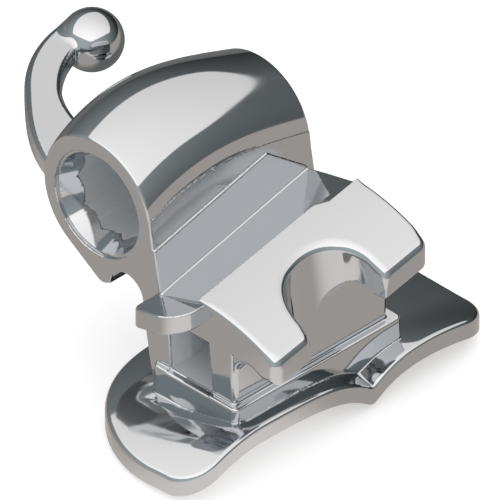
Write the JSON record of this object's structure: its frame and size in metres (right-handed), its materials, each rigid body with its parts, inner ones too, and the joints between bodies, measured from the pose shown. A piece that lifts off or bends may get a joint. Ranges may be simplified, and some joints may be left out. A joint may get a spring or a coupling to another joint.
{
  "type": "buccal tube",
  "caption": "One-piece metal molar attachment: a contoured bonding pad with an archwire slot, a tie-wing, a round headgear tube and a ball hook.",
  "frame": {"origin": "under the middle of the bonding pad's length, at the height of the pad's lowest rim points", "axes": "+X towards the biting edge, +Y towards the distal end, +Z out of the tooth through the pad"},
  "size_m": [0.006, 0.0052, 0.0039],
  "materials": {
    "polished_steel": "electropolished and tumbled stainless steel, mirror-like on the flats, with softly rounded edges"
  },
  "bodies": {
    "root": {"buccal_tube": "polished_steel"}
  },
  "joints": []
}
